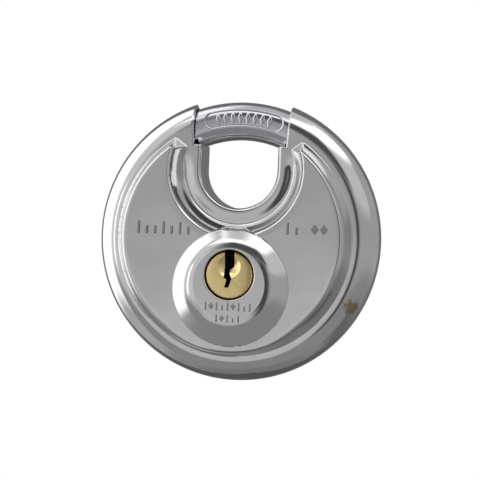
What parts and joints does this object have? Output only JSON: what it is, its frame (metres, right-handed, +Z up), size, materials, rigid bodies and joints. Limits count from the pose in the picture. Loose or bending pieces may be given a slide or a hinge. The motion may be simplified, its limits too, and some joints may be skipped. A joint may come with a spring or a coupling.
{
  "type": "disc padlock",
  "caption": "Round steel padlock with a U-shaped opening crossed by a curved rotating shackle and a brass key cylinder in a conical boss.",
  "frame": {"origin": "the shackle's bearing point: the middle of the bar's inner side at the top of the U opening, on the seam plane, where the lock hangs on a hasp", "axes": "+Z up, towards the shackle; -Y out of the front face with the keyway; +X to the right seen from the front"},
  "size_m": [0.07, 0.0265, 0.0687],
  "materials": {
    "stainless_case": "polished stainless sheet, mirror-like with fine wear",
    "hardened_shackle": "polished bar, satin on its flats",
    "cylinder_brass": "machined, satin",
    "sintered_body": "matte grey sintered steel",
    "hardened_steel": "ground, lightly oiled",
    "spring_steel": "bright drawn wire"
  },
  "bodies": {
    "case": {"front_shell": "stainless_case", "back_shell": "stainless_case", "chassis": "sintered_body", "case_stud_1": "hardened_steel", "case_stud_2": "hardened_steel", "case_stud_3": "hardened_steel", "case_stud_4": "hardened_steel", "cylinder_housing": "cylinder_brass", "chamber_cover": "cylinder_brass", "drill_plate": "hardened_steel", "nose_ring": "cylinder_brass", "pin_spring_1": "spring_steel", "pin_spring_2": "spring_steel", "pin_spring_3": "spring_steel", "pin_spring_4": "spring_steel"},
    "shackle": {"shackle": "hardened_shackle"},
    "plug": {"plug": "cylinder_brass", "plug_clip": "hardened_steel", "drive_crank": "hardened_steel", "crank_pin": "hardened_steel", "crank_screw": "hardened_steel"},
    "driver_pin_1": {"driver_pin_1": "hardened_steel"},
    "key_pin_1": {"key_pin_1": "cylinder_brass"},
    "driver_pin_2": {"driver_pin_2": "hardened_steel"},
    "key_pin_2": {"key_pin_2": "cylinder_brass"},
    "driver_pin_3": {"driver_pin_3": "hardened_steel"},
    "key_pin_3": {"key_pin_3": "cylinder_brass"},
    "driver_pin_4": {"driver_pin_4": "hardened_steel"},
    "key_pin_4": {"key_pin_4": "cylinder_brass"}
  },
  "joints": [
    {"name": "key_turn", "type": "hinge", "parent": "case", "child": "plug", "pos_m": [0, 0, -0.0333], "axis": [0, 1, 0], "range_deg": [0, 120]},
    {"name": "shackle_turn", "type": "hinge", "parent": "case", "child": "shackle", "pos_m": [0, 0, -0.0243], "axis": [0, 1, 0], "range_deg": [0, 60]},
    {"name": "driver_pin_1_slide", "type": "slide", "parent": "case", "child": "driver_pin_1", "axis": [0, 0, -1], "range_m": [0, 0.001], "stiffness_N_per_m": 100, "springref_m": -0.002, "deforming": ["pin_spring_1"]},
    {"name": "key_pin_1_slide", "type": "slide", "parent": "plug", "child": "key_pin_1", "axis": [0, 0, 1], "range_m": [0, 0.0005]},
    {"name": "driver_pin_2_slide", "type": "slide", "parent": "case", "child": "driver_pin_2", "axis": [0, 0, -1], "range_m": [0, 0.001], "stiffness_N_per_m": 100, "springref_m": -0.002, "deforming": ["pin_spring_2"]},
    {"name": "key_pin_2_slide", "type": "slide", "parent": "plug", "child": "key_pin_2", "axis": [0, 0, 1], "range_m": [0, 0.0005]},
    {"name": "driver_pin_3_slide", "type": "slide", "parent": "case", "child": "driver_pin_3", "axis": [0, 0, -1], "range_m": [0, 0.001], "stiffness_N_per_m": 100, "springref_m": -0.002, "deforming": ["pin_spring_3"]},
    {"name": "key_pin_3_slide", "type": "slide", "parent": "plug", "child": "key_pin_3", "axis": [0, 0, 1], "range_m": [0, 0.0005]},
    {"name": "driver_pin_4_slide", "type": "slide", "parent": "case", "child": "driver_pin_4", "axis": [0, 0, -1], "range_m": [0, 0.001], "stiffness_N_per_m": 100, "springref_m": -0.002, "deforming": ["pin_spring_4"]},
    {"name": "key_pin_4_slide", "type": "slide", "parent": "plug", "child": "key_pin_4", "axis": [0, 0, 1], "range_m": [0, 0.0005]}
  ],
  "couplings": [
    {"joint": "shackle_turn", "follows": "key_turn", "ratio": 0.5}
  ]
}
